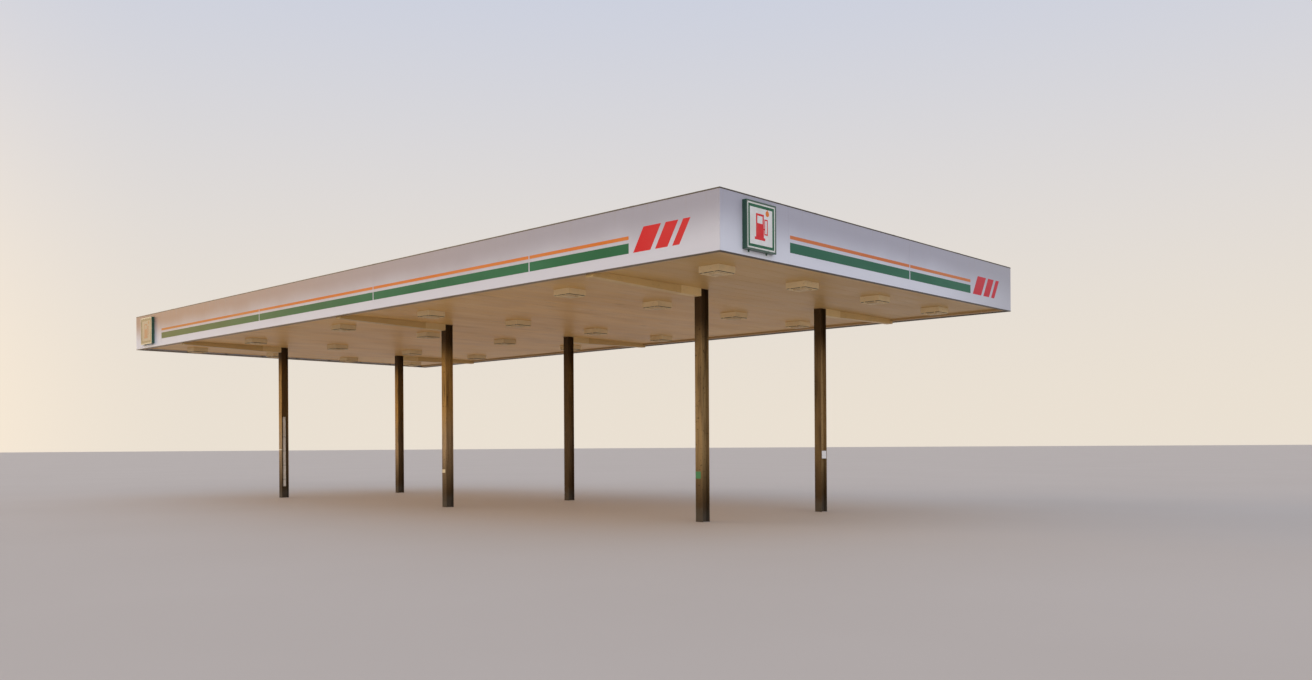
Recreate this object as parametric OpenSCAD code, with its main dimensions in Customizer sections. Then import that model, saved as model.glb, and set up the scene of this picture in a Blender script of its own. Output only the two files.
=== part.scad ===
// Filling station canopy: two rows of rolled steel columns carry cross beams and purlins,
// a ceiling of ribbed deck pans hangs under them, gutters run inside both long sides, and
// a panelled fascia on a light angle frame closes all four sides.
// +Z is up, the origin is on the ground under the middle of the canopy.

/* [Canopy] */
// Length over the fascia panels
canopy_len = 26600; // [24400:100:30000]
// Width over the fascia panels
canopy_wid = 12080; // [11200:20:13600]
// Height of the lower edge of the fascia above the ground
fascia_bottom = 5240; // [4600:10:5800]
// Height of the fascia
fascia_h = 1165; // [1060:5:1400]
// How far the ceiling lies above the lower edge of the fascia
ceiling_up = 75; // [60:5:120]

/* [Columns] */
// Distance between neighbouring columns along the canopy
bay_len = 9750; // [9000:50:10400]
// Distance between the two rows of columns
row_gap = 4780; // [4200:20:5400]
// Depth of the column section, measured across the canopy
col_depth = 254; // [200:1:320]
// Width of the column flanges
col_wid = 203; // [160:1:260]
// Thickness of the column flanges
col_flange_t = 14; // [10:1:22]
// Thickness of the column web
col_web_t = 9; // [6:1:16]
// Root radius of the rolled sections
root_r = 12; // [6:1:16]
// Side of the square cap plate
cap_side = 300; // [280:5:360]
// Thickness of the cap plate
cap_t = 20; // [12:1:30]

/* [Cross beams] */
// Depth of a cross beam
beam_depth = 457; // [380:1:540]
// Width of its flanges
beam_wid = 190; // [150:1:240]
// Thickness of its flanges
beam_flange_t = 15; // [10:1:22]
// Thickness of its web
beam_web_t = 9; // [6:1:14]
// Thickness of the stiffener plates over the columns
stiffener_t = 10; // [6:1:16]

/* [Purlins] */
// Distance from the purlin over a column row to the next one outward
purlin_out = 1950; // [1200:10:2400]
// Depth of a purlin
purlin_depth = 305; // [240:1:340]
// Width of its flanges
purlin_wid = 102; // [80:1:140]
// Thickness of its flanges
purlin_flange_t = 8; // [5:1:14]
// Thickness of its web
purlin_web_t = 6; // [4:1:10]
// Clearance of a coped purlin end round the cross beam flange
cope_gap = 6; // [2:1:15]

/* [Edge channels] */
// Depth of an edge channel
channel_depth = 254; // [200:1:300]
// Width of its flanges
channel_wid = 70; // [50:1:90]
// Thickness of its web and flanges
channel_t = 9; // [6:1:14]

/* [Deck pans] */
// Cover width of one deck pan
pan_wid = 406.4; // [300:0.1:500]
// Height of the ribs where two pans join
pan_h = 76; // [50:1:100]
// Sheet thickness of a pan
pan_t = 2; // [1:0.5:4]
// Width of a joint rib
rib_t = 14; // [12:1:24]
// Width of the folded hem on top of a rib
hem_wid = 26; // [25:1:40]
// Height of the folded hem
hem_h = 8; // [5:1:14]
// Width of the groove that shows between two pans from below
groove_wid = 10; // [6:1:11]
// Depth of that groove
groove_d = 8; // [5:1:12]
// Clearance of the deck round the columns
deck_gap = 6; // [3:1:20]
// How far the pans run out over the gutter
drip = 15; // [5:1:30]

/* [Gutters] */
// Width of a gutter
gutter_wid = 190; // [150:5:200]
// Sheet thickness of a gutter
gutter_t = 3; // [2:0.5:6]
// How far the gutter floor lies under the ceiling
gutter_drop = 50; // [30:5:55]
// Width of the lip on which the pans rest
gutter_lip = 30; // [20:1:50]

/* [Fascia] */
// Thickness of a fascia panel
panel_t = 4; // [3:1:8]
// Depth of the folded edges of a panel
panel_return = 32; // [20:1:45]
// Length of a full panel
panel_len = 6096; // [4800:1:7300]
// Length of the last panel at the right hand end of a side
last_panel = 5290; // [4200:10:5800]
// Length of the corner panel that carries the sign, at the left hand end of a side
corner_panel = 2110; // [1800:10:2400]
// Shortest panel that is still made as a piece of its own
least_panel = 1500; // [1200:50:2000]
// Gap at the joints between panels
joint_gap = 6; // [2:1:12]
// Gap at the mitred corners
mitre_gap = 1; // [0.5:0.5:4]
// Sheet thickness of the coping and the lower trim
trim_t = 3; // [1.5:0.5:5]
// Height of the coping face
coping_h = 26; // [20:1:80]
// Width of the coping, measured inward
coping_wid = 80; // [70:1:120]
// Height of the turned down inner edge of the coping
coping_lip = 22; // [10:1:40]
// Height of the lower trim
trim_h = 20; // [15:1:60]
// Length of a piece of coping or trim
trim_len = 3048; // [2400:1:3700]
// Length of the cover over a splice between two pieces
splice_len = 120; // [80:5:160]
// Sheet thickness of a splice cover
splice_t = 1.5; // [1:0.5:3]

/* [Fascia frame] */
// Leg of the angle bars
angle_leg = 50; // [40:1:60]
// Thickness of the angle bars
angle_t = 5; // [4:1:8]
// Width of the braces of the brackets
brace_wid = 30; // [20:1:40]
// Greatest distance between the brackets
bracket_pitch = 1524; // [1200:1:2000]

/* [Sign cabinets] */
// Side of the square cabinet
sign_side = 914; // [700:1:960]
// Depth of the cabinet
sign_depth = 100; // [80:5:180]
// Distance from the corner of the canopy to the cabinet
sign_inset = 650; // [400:10:800]
// Width of the retaining frame round the face
sign_frame = 28; // [16:1:40]
// Depth of the face behind the front of the frame
sign_recess = 8; // [4:1:20]
// Thickness of the face
sign_face_t = 5; // [3:1:8]
// Fit of the face inside the frame
sign_fit = 1; // [0.5:0.5:3]

/* [Ceiling lights] */
// Side of a square light housing
light_side = 520; // [400:5:600]
// Height of the housing
light_h = 150; // [100:5:200]
// Distance of the lights from the column lines, along the canopy
light_off = 2180; // [1600:10:2600]
// Distance of the inner light rows from the middle of the canopy
light_in = 1520; // [1000:10:1900]
// Distance of the outer light rows from the middle of the canopy
light_out = 4470; // [4000:10:5000]
// Width of the rim round the opening
light_rim = 34; // [20:1:60]
// Depth of the opening in the underside
light_recess = 45; // [20:1:80]
// Side of the square lens
lens_side = 330; // [240:5:380]
// How far the lens hangs down from the recess floor
lens_drop = 65; // [20:1:80]
// How far the sides of the lens lean in
lens_lean = 28; // [10:1:60]

/* [Column fittings] */
// Length of the box at the head of each column, measured outward
head_box_len = 700; // [400:10:900]
// Height of the box at the head of each column
head_box_h = 175; // [120:5:220]
// Lower end of the cable guard on the front left column
guard_low = 400; // [200:10:600]
// Upper end of the cable guard
guard_high = 2860; // [2200:10:3000]
// Width of the cable guard
guard_wid = 90; // [50:1:120]
// How far the cable guard stands off the column web
guard_d = 46; // [25:1:70]

/* [Hidden] */
$fn = 48;

// The sides are numbered front, right, back, left, and turned a quarter turn each.
FRONT = 0;
RIGHT = 1;
BACK = 2;
LEFT = 3;
QUARTER = 90;
// Tools that cut run this far past the faces they cut
past = 10;
// Number of nodes the deck is shared out to
deck_parts = 5;
// Straight pieces in a quarter of a root fillet
root_steps = 3;

// Levels
ceiling_z = fascia_bottom + ceiling_up;
steel_z = ceiling_z + pan_h;
roof_z = fascia_bottom + fascia_h;
channel_top = steel_z + channel_depth;

// From the outside of the fascia inward
frame_out = panel_t;
frame_in = frame_out + angle_leg;
gutter_in = frame_in + gutter_wid;
channel_back = gutter_in + channel_wid - gutter_lip;
edge_x = canopy_len / 2 - channel_back;
edge_y = canopy_wid / 2 - channel_back;

// Deck: an odd number of pans, so that one lies along the middle line
deck_half = canopy_len / 2 - frame_in - mitre_gap;
pan_count = 2 * floor((2 * deck_half / pan_wid - 1) / 2) + 1;
pans_left = -pan_count * pan_wid / 2;
deck_end_y = canopy_wid / 2 - gutter_in + gutter_t + drip;

// Column places
col_x = [-bay_len, 0, bay_len];
row_y = row_gap / 2;

// Fascia panels lie between the coping and the lower trim; splice covers reach the top
coping_top = roof_z - splice_t;
panel_low = fascia_bottom + trim_t;
panel_top = coping_top - trim_t;
rail_low = panel_low + panel_t;
rail_top = panel_top - panel_t;

sign_z = fascia_bottom + fascia_h / 2;
light_y = [-light_out, -light_in, light_in, light_out];

// Purlin lines: one along the middle, one over each column row and one outside each row
purlin_y = [-row_y - purlin_out, -row_y, 0, row_y, row_y + purlin_out];

function side_len(side) = side % 2 == 0 ? canopy_len : canopy_wid;
function side_half(side) = side % 2 == 0 ? canopy_wid / 2 : canopy_len / 2;

// Points of a quarter circle, from one angle to the other
function arc(cx, cy, r, from, to) =
    [for (i = [0 : root_steps]) let (a = from + (to - from) * i / root_steps)
        [cx + r * cos(a), cy + r * sin(a)]];

// Joints between the panels of a side, from its left end to its right end
function joint_count(len) =
    floor((len - last_panel - corner_panel - least_panel) / panel_len);
function panel_cuts(len) = concat(
    [-len / 2, -len / 2 + corner_panel],
    [for (k = [joint_count(len) : -1 : 0]) len / 2 - last_panel - k * panel_len],
    [len / 2]);

// The same points in turned order, each moved through a mirror
function mirrored(points, sx, sy) =
    [for (i = [len(points) - 1 : -1 : 0]) [sx * points[i][0], sy * points[i][1]]];

// Outline of a rolled section, as deep as it is high on the page
module i_section(depth, wid, flange, web) {
    h = depth / 2;
    w = wid / 2;
    t = web / 2;
    in = h - flange;
    quarter = concat(
        [[w, h], [w, in]],
        arc(t + root_r, in - root_r, root_r, QUARTER, 2 * QUARTER));
    right = concat(quarter, mirrored(quarter, 1, -1));
    polygon(concat(right, mirrored(right, -1, 1)));
}

// Rolled beams lie along X or along Y with their underside on the XY plane
module beam_along_x(len, depth, wid, flange, web) {
    translate([0, 0, depth / 2])
        rotate([90, 0, 90])
            linear_extrude(height = len, center = true)
                i_section(depth, wid, flange, web);
}

module beam_along_y(len, depth, wid, flange, web) {
    translate([0, 0, depth / 2])
        rotate([90, 0, 0])
            linear_extrude(height = len, center = true)
                i_section(depth, wid, flange, web);
}

// A profile drawn as [outward, up] runs along a whole side, seen from outside
module along_side(side, from, to) {
    translate([from, 0, 0])
        rotate([90, 0, 90])
            linear_extrude(height = to - from)
                translate([-side_half(side), 0])
                    children();
}

module turn_to(side) {
    rotate([0, 0, side * QUARTER])
        children();
}

// Plan of one side between its two mitres
module side_plan(side) {
    l = side_len(side) / 2;
    w = side_half(side);
    out = past;
    in = 2 * coping_wid;
    translate([0, 0, fascia_bottom - past])
        linear_extrude(height = fascia_h + 2 * past)
            polygon([
                [-l - out + mitre_gap, -w - out], [l + out - mitre_gap, -w - out],
                [l - in - mitre_gap, -w + in], [-l + in + mitre_gap, -w + in]]);
}

// Column: a rolled section with its flanges to the front and back, and a cap plate
module column(x, y) {
    color([0.27, 0.22, 0.15])
        translate([x, y, 0]) {
            linear_extrude(height = steel_z - cap_t)
                i_section(col_depth, col_wid, col_flange_t, col_web_t);
            translate([-cap_side / 2, -cap_side / 2, steel_z - cap_t])
                cube([cap_side, cap_side, cap_t]);
        }
}

// Cross beam over a pair of columns, with stiffener plates above each column
module cross_beam(x) {
    plate_h = beam_depth - 2 * beam_flange_t;
    color([0.55, 0.2, 0.14])
        translate([x, 0, steel_z]) {
            beam_along_y(2 * edge_y, beam_depth, beam_wid, beam_flange_t, beam_web_t);
            for (row = [-row_y, row_y], face = [-1, 1])
                translate([-beam_wid / 2, row + face * (col_depth - col_flange_t) / 2 - stiffener_t / 2,
                        beam_flange_t])
                    cube([beam_wid, stiffener_t, plate_h]);
        }
}

// Purlins between two places along X; an end that meets a cross beam is coped round it
module purlin_set(from, to, cope_from, cope_to) {
    cope_len = (beam_wid - beam_web_t) / 2 + cope_gap;
    cope_h = beam_flange_t + root_r + cope_gap;
    color([0.55, 0.2, 0.14])
        for (y = purlin_y)
            translate([0, y, steel_z])
                difference() {
                    translate([(from + to) / 2, 0, 0])
                        beam_along_x(to - from, purlin_depth, purlin_wid, purlin_flange_t, purlin_web_t);
                    if (cope_from)
                        translate([from - past, -purlin_wid, -past])
                            cube([cope_len + past, 2 * purlin_wid, cope_h + past]);
                    if (cope_to)
                        translate([to - cope_len, -purlin_wid, -past])
                            cube([cope_len + past, 2 * purlin_wid, cope_h + past]);
                }
}

module purlins_end(side) {
    mirror([side < 0 ? 1 : 0, 0, 0])
        purlin_set(bay_len + beam_web_t / 2, edge_x, true, false);
}

module purlins_bay(side) {
    mirror([side < 0 ? 1 : 0, 0, 0])
        purlin_set(beam_web_t / 2, bay_len - beam_web_t / 2, true, true);
}

// Edge channel, its back against the beam ends and its flanges pointing outward
module edge_channel(side) {
    long = side % 2 == 0;
    back = side_half(side) - channel_back;
    half = long ? edge_x + channel_wid : edge_y;
    color([0.55, 0.2, 0.14])
        turn_to(side)
            translate([-half, 0, 0])
                rotate([90, 0, 90])
                    linear_extrude(height = 2 * half)
                        translate([-back, steel_z])
                            polygon([
                                [0, 0], [0, channel_depth], [-channel_wid, channel_depth],
                                [-channel_wid, channel_depth - channel_t],
                                [-channel_t, channel_depth - channel_t], [-channel_t, channel_t],
                                [-channel_wid, channel_t], [-channel_wid, 0]]);
}

// Place of a joint between two deck pans
function joint_x(i) = pans_left + i * pan_wid;

// Right hand outline of the rib that stands on a joint, from the sheet up
function rib_side(x) = [
    [x + rib_t / 2, pan_t], [x + rib_t / 2, pan_h - hem_h],
    [x + hem_wid / 2, pan_h - hem_h], [x + hem_wid / 2, pan_h]];

// Upper outline over a joint, from right to left; at the border of a node only half the rib
function rib_over(x, left, right) = concat(
    right ? rib_side(x) : [[x, pan_h]],
    left ? [for (p = mirrored(rib_side(0), -1, 1)) [x + p[0], p[1]]] : [[x, pan_h]]);

// Upturned edge of the outermost pan at the right hand end
deck_edge = [
    [deck_half, 0], [deck_half, pan_h - hem_h],
    [deck_half - pan_t, pan_h - hem_h], [deck_half - pan_t, pan_t]];

// Profile of the pans from one joint to another; the outermost reach the fascia frame
module pan_profile(first, last) {
    left_end = first == 0;
    right_end = last == pan_count;
    groove = groove_wid / 2;
    under = concat(
        [[joint_x(first), groove_d], [joint_x(first) + groove, 0]],
        [for (i = [first + 1 : last - 1]) each [
            [joint_x(i) - groove, 0], [joint_x(i), groove_d], [joint_x(i) + groove, 0]]],
        [[joint_x(last) - groove, 0], [joint_x(last), groove_d]]);
    over = concat(
        rib_over(joint_x(last), true, right_end),
        [for (i = [last - 1 : -1 : first + 1]) each rib_over(joint_x(i), true, true)],
        rib_over(joint_x(first), left_end, true));
    polygon(concat(
        left_end ? [[joint_x(first) - groove, 0]] : [],
        under,
        right_end ? concat([[joint_x(last) + groove, 0]], deck_edge) : [],
        over,
        left_end ? mirrored(deck_edge, -1, 1) : []));
}

// Ribbed ceiling deck, shared out to several nodes, with openings for the columns
module deck(part) {
    first = round((part - 1) * pan_count / deck_parts);
    last = round(part * pan_count / deck_parts);
    hole_x = col_wid + 2 * deck_gap;
    hole_y = col_depth + 2 * deck_gap;
    cap_hole = cap_side + 2 * deck_gap;
    color([0.78, 0.74, 0.66])
        difference() {
            translate([0, 0, ceiling_z])
                rotate([90, 0, 0])
                    linear_extrude(height = 2 * deck_end_y, center = true)
                        pan_profile(first, last);
            for (x = col_x, y = [-row_y, row_y]) {
                translate([x - hole_x / 2, y - hole_y / 2, ceiling_z - past])
                    cube([hole_x, hole_y, pan_h + 2 * past]);
                translate([x - cap_hole / 2, y - cap_hole / 2, ceiling_z + pan_t + past])
                    cube([cap_hole, cap_hole, pan_h]);
            }
        }
}

// Gutter: an open trough with a lip that carries the ends of the pans, and closed ends
module gutter(side) {
    out = -side_half(side) + frame_in;
    in = out + gutter_wid;
    low = ceiling_z - gutter_drop;
    lip = in + gutter_lip;
    color([0.75, 0.72, 0.65])
        turn_to(side) {
            translate([-deck_half, 0, 0])
                rotate([90, 0, 90])
                    linear_extrude(height = 2 * deck_half)
                        polygon([
                            [out, low], [in, low], [in, ceiling_z - gutter_t], [lip, ceiling_z - gutter_t],
                            [lip, ceiling_z], [in - gutter_t, ceiling_z], [in - gutter_t, low + gutter_t],
                            [out + gutter_t, low + gutter_t], [out + gutter_t, steel_z], [out, steel_z]]);
            for (x = [-deck_half, deck_half - gutter_t])
                translate([x, out, low])
                    cube([gutter_t, gutter_wid, gutter_drop - gutter_t]);
        }
}

// Angle bar drawn as a corner: one leg along the page, one leg up
module angle_section() {
    polygon([
        [0, 0], [angle_leg, 0], [angle_leg, angle_t], [angle_t, angle_t],
        [angle_t, angle_leg], [0, angle_leg]]);
}

// Outline of a bracket seen along the side: an upright, an arm and a brace between them
module bracket_plate(up_from, up_to, arm_z, arm_len) {
    arm_top = arm_z + angle_leg;
    brace_top = up_to - angle_leg;
    run = arm_len - angle_leg;
    rise = brace_top - arm_top;
    slope = sqrt(run * run + rise * rise);
    difference() {
        polygon([
            [angle_t, up_from], [angle_leg, up_from], [angle_leg, arm_z], [arm_len, arm_z],
            [arm_len, arm_top], [angle_leg, brace_top], [angle_leg, up_to], [angle_t, up_to]]);
        polygon([
            [angle_leg, arm_top], [arm_len - brace_wid * slope / rise, arm_top],
            [angle_leg, brace_top - brace_wid * slope / run]]);
    }
}

// Bracket: the plate above, with a flange on its upright and on its arm
module bracket(half) {
    arm_len = channel_back - frame_out;
    up_from = rail_low + angle_t;
    up_to = rail_top - angle_t;
    translate([0, -half + frame_out, 0]) {
        rotate([90, 0, 90])
            linear_extrude(height = angle_t)
                bracket_plate(up_from, up_to, channel_top, arm_len);
        translate([angle_t, angle_t, up_from])
            cube([angle_leg - angle_t, angle_t, up_to - up_from]);
        translate([angle_t, 2 * angle_t, channel_top])
            cube([angle_leg - angle_t, arm_len - 2 * angle_t, angle_t]);
    }
}

// Rails behind the panels, at the bottom, the middle and the top, with a bracket every bay
module fascia_frame(side) {
    long = side % 2 == 0;
    half = side_half(side);
    run = side_len(side) - 2 * frame_out - 2 * mitre_gap - (long ? 0 : 2 * angle_leg);
    first = -side_len(side) / 2 + channel_back + angle_leg;
    bays = ceil(-2 * first / bracket_pitch);
    step = (-2 * first - angle_leg) / bays;
    mid_z = (rail_low + rail_top - angle_leg) / 2;
    color([0.6, 0.6, 0.58])
        turn_to(side) {
            translate([-run / 2, 0, 0])
                rotate([90, 0, 90])
                    linear_extrude(height = run)
                        translate([-half + frame_out, 0]) {
                            translate([0, rail_low])
                                angle_section();
                            translate([0, mid_z])
                                square([angle_t, angle_leg]);
                            translate([0, rail_top])
                                mirror([0, 1])
                                    angle_section();
                        }
            for (i = [0 : bays])
                translate([first + i * step, 0, 0])
                    bracket(half);
        }
}

// Fascia panels: folded sheets with mitred ends, a gap at every joint
module fascia(side) {
    cuts = panel_cuts(side_len(side));
    color([0.86, 0.86, 0.88])
        turn_to(side)
            for (i = [0 : len(cuts) - 2])
                intersection() {
                    along_side(side, cuts[i] + (i > 0 ? joint_gap / 2 : 0),
                            cuts[i + 1] - (i < len(cuts) - 2 ? joint_gap / 2 : 0))
                        polygon([
                            [0, panel_low], [panel_return, panel_low], [panel_return, panel_low + panel_t],
                            [panel_t, panel_low + panel_t], [panel_t, panel_top - panel_t],
                            [panel_return, panel_top - panel_t], [panel_return, panel_top], [0, panel_top]]);
                    side_plan(side);
                }
}

// Profile of the coping; at a splice its cover makes it thicker on the outside
module coping_profile(cover) {
    out = -trim_t - cover;
    in = coping_wid + cover;
    top = coping_top + cover;
    polygon([
        [out, roof_z - coping_h], [0, roof_z - coping_h], [0, panel_top],
        [coping_wid - trim_t, panel_top], [coping_wid - trim_t, roof_z - coping_lip],
        [in, roof_z - coping_lip], [in, top], [out, top]]);
}

// Profile of the lower trim; the cover of a splice is on its face only
module trim_profile(cover) {
    out = -trim_t - cover;
    polygon([
        [out, fascia_bottom], [frame_in, fascia_bottom], [frame_in, panel_low],
        [0, panel_low], [0, fascia_bottom + trim_h], [out, fascia_bottom + trim_h]]);
}

// Middles of the splices on a side, from its left end
function splices(len) = [for (x = [-len / 2 + trim_len : trim_len : len / 2 - splice_len]) x];

// Coping along the top of the fascia
module top_coping() {
    color([0.3, 0.27, 0.22])
        for (side = [FRONT, RIGHT, BACK, LEFT])
            turn_to(side) {
                intersection() {
                    along_side(side, -side_len(side) / 2 - past, side_len(side) / 2 + past)
                        coping_profile(0);
                    side_plan(side);
                }
                for (x = splices(side_len(side)))
                    along_side(side, x - splice_len / 2, x + splice_len / 2)
                        coping_profile(splice_t);
            }
}

// Trim along the lower edge of the fascia
module lower_trim() {
    color([0.3, 0.27, 0.22])
        for (side = [FRONT, RIGHT, BACK, LEFT])
            turn_to(side) {
                intersection() {
                    along_side(side, -side_len(side) / 2 - past, side_len(side) / 2 + past)
                        trim_profile(0);
                    side_plan(side);
                }
                for (x = splices(side_len(side)))
                    along_side(side, x - splice_len / 2, x + splice_len / 2)
                        trim_profile(splice_t);
            }
}

// Sign cabinet at the left hand end of each side, with a retaining frame and a blank face
module at_sign(side) {
    turn_to(side)
        translate([-side_len(side) / 2 + sign_inset, -side_half(side) - sign_depth, sign_z - sign_side / 2])
            children();
}

module sign_cabinet(side) {
    open = sign_side - 2 * sign_frame;
    color([0.1, 0.25, 0.17])
        at_sign(side)
            difference() {
                cube([sign_side, sign_depth, sign_side]);
                translate([sign_frame, -past, sign_frame])
                    cube([open, sign_recess + sign_face_t + past, open]);
            }
}

module sign_faces() {
    face = sign_side - 2 * sign_frame - 2 * sign_fit;
    edge = sign_frame + sign_fit;
    color([0.92, 0.92, 0.9])
        for (side = [FRONT, RIGHT, BACK, LEFT])
            at_sign(side)
                translate([edge, sign_recess, edge])
                    cube([face, sign_face_t, face]);
}

// Ceiling lights stand in pairs to both sides of every column line
module at_lights(row) {
    for (x = col_x, d = [-light_off, light_off])
        translate([x + d, light_y[row], ceiling_z])
            children();
}

module light_row(row) {
    inner = light_side - 2 * light_rim;
    color([0.84, 0.78, 0.64])
        at_lights(row)
            difference() {
                translate([-light_side / 2, -light_side / 2, -light_h])
                    cube([light_side, light_side, light_h]);
                translate([-inner / 2, -inner / 2, -light_h - past])
                    cube([inner, inner, light_recess + past]);
            }
}

// Side view of a lens, which hangs from the recess floor and narrows downward
module lens_profile() {
    top = lens_side / 2;
    low = top - lens_lean;
    rotate([90, 0, 0])
        linear_extrude(height = lens_side, center = true)
            polygon([[-top, 0], [-low, -lens_drop], [low, -lens_drop], [top, 0]]);
}

module light_lenses() {
    color([0.9, 0.9, 0.85])
        for (row = [0 : 3])
            at_lights(row)
                translate([0, 0, light_recess - light_h])
                    intersection() {
                        lens_profile();
                        rotate([0, 0, QUARTER])
                            lens_profile();
                    }
}

// Boxes under the ceiling on the outer side of every column head
module column_head_boxes() {
    color([0.78, 0.74, 0.66])
        for (x = col_x, turn = [0, 180])
            rotate([0, 0, turn])
                translate([x - col_wid / 2, -row_y - col_depth / 2 - head_box_len, ceiling_z - head_box_h])
                    cube([col_wid, head_box_len, head_box_h]);
}

// White cable guard in the web of the front left column
module cable_guard() {
    color([0.88, 0.87, 0.84])
        translate([-bay_len + col_web_t / 2, -row_y - guard_wid / 2, guard_low])
            cube([guard_d, guard_wid, guard_high - guard_low]);
}

column(-bay_len, -row_y);  // column_front_left
column(0, -row_y);  // column_front_mid
column(bay_len, -row_y);  // column_front_right
column(-bay_len, row_y);  // column_back_left
column(0, row_y);  // column_back_mid
column(bay_len, row_y);  // column_back_right
cross_beam(-bay_len);  // cross_beam_left
cross_beam(0);  // cross_beam_mid
cross_beam(bay_len);  // cross_beam_right
purlins_end(-1);  // purlins_left_end
purlins_bay(-1);  // purlins_left_bay
purlins_bay(1);  // purlins_right_bay
purlins_end(1);  // purlins_right_end
edge_channel(FRONT);  // edge_channel_front
edge_channel(RIGHT);  // edge_channel_right
edge_channel(BACK);  // edge_channel_back
edge_channel(LEFT);  // edge_channel_left
deck(1);  // deck_1
deck(2);  // deck_2
deck(3);  // deck_3
deck(4);  // deck_4
deck(5);  // deck_5
gutter(FRONT);  // gutter_front
gutter(BACK);  // gutter_back
fascia_frame(FRONT);  // fascia_frame_front
fascia_frame(RIGHT);  // fascia_frame_right
fascia_frame(BACK);  // fascia_frame_back
fascia_frame(LEFT);  // fascia_frame_left
fascia(FRONT);  // fascia_front
fascia(RIGHT);  // fascia_right
fascia(BACK);  // fascia_back
fascia(LEFT);  // fascia_left
top_coping();
lower_trim();
sign_cabinet(FRONT);  // sign_cabinet_front
sign_cabinet(RIGHT);  // sign_cabinet_right
sign_cabinet(BACK);  // sign_cabinet_back
sign_cabinet(LEFT);  // sign_cabinet_left
sign_faces();
light_row(0);  // light_row_1
light_row(1);  // light_row_2
light_row(2);  // light_row_3
light_row(3);  // light_row_4
light_lenses();
column_head_boxes();
cable_guard();
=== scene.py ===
import math

import bmesh
import bpy
from mathutils import Matrix, Vector


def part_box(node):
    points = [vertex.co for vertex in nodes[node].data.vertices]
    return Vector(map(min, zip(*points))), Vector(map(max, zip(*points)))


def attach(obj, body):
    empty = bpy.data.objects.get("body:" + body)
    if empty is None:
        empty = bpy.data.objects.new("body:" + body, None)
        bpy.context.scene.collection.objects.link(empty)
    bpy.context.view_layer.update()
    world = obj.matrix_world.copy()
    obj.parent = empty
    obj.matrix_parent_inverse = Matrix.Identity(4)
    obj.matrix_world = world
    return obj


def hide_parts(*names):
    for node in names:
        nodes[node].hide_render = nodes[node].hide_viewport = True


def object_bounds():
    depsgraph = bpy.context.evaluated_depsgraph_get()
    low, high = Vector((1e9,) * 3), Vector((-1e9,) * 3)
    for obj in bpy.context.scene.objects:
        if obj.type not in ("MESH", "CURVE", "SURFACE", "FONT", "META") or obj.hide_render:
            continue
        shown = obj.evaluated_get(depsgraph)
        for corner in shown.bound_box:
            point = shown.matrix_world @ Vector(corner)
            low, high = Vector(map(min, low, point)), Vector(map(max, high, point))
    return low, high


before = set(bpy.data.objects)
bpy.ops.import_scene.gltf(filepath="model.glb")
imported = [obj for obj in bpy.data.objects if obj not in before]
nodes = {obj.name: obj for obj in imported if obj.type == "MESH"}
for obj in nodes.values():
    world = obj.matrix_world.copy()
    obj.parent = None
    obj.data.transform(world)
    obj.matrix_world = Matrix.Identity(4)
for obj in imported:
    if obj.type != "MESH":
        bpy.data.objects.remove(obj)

cad_low, cad_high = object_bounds()

# Camera: at eye height, off the right hand front corner of the canopy, and looking along it.
# The lens is shifted up, so that the columns stay upright.
CAMERA_PLACE = (25.31, -20.68, 1.717)
CAMERA_TURN = 42.92
CAMERA_ROLL = -0.34
CAMERA_LENS = 28.79
CAMERA_RISE = 0.0815

camera = bpy.data.objects.new("forecourt_camera", bpy.data.cameras.new("forecourt_camera"))
bpy.context.scene.collection.objects.link(camera)
camera.data.lens = CAMERA_LENS
camera.data.sensor_width = 36
camera.data.shift_y = CAMERA_RISE
camera.data.clip_start = 0.1
camera.data.clip_end = 2000
camera.matrix_world = (
    Matrix.Translation(CAMERA_PLACE)
    @ Matrix.Rotation(math.radians(CAMERA_TURN), 4, "Z")
    @ Matrix.Rotation(math.radians(90), 4, "X")
    @ Matrix.Rotation(math.radians(CAMERA_ROLL), 4, "Z")
)
bpy.context.scene.camera = camera

# Columns: six rolled steel sections in two rows, brushed with dark bronze paint. Painted light
# makes the paint pale at half height, more on some columns than on others, with a painted
# shadow of the fascia at the top and golden light high up at the left.
# A folded collar closes the cut in the ceiling round each one.
COLUMNS = ["column_front_left", "column_front_mid", "column_front_right",
    "column_back_left", "column_back_mid", "column_back_right"]
# Painted light: how much lit paint the flange and the web of each column show.
FLANGE_LIGHT = [0.9, 1.0, 0.9, 1.0, 0.12, 0.45]
WEB_LIGHT = [0.15, 0.8, 0.85, 0.2, 0.25, 1.0]
COLUMN_WIDE = 0.203
COLUMN_DEEP = 0.254
COLLAR_GAP = 0.002
COLLAR_WIDE = 0.035
COLLAR_DOWN = 0.008
COLLAR_SHEET = 0.0015
ceiling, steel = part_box("deck_3")[0].z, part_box("deck_3")[1].z
column_places = [(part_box(name)[0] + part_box(name)[1]) / 2 for name in COLUMNS]


def start_finish(name, colour, rough, metal=0.0, coat=0.0, shine=0.5):
    """A new material whose shader has these values on its own sockets."""
    finish = bpy.data.materials.new(name)
    finish.use_nodes = True
    for key, value in {"Base Color": (*colour, 1), "Roughness": rough, "Metallic": metal,
            "Coat Weight": coat, "Specular IOR Level": shine}.items():
        finish.node_tree.nodes["Principled BSDF"].inputs[key].default_value = value
    return finish


def add_node(finish, kind, inputs, **settings):
    """One node; its inputs are values or the outputs of other nodes."""
    made = finish.node_tree.nodes.new(kind)
    for key, value in settings.items():
        setattr(made, key, value)
    for key, value in inputs.items():
        if isinstance(value, bpy.types.NodeSocket):
            finish.node_tree.links.new(value, made.inputs[key])
        else:
            made.inputs[key].default_value = value
    return made


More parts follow.
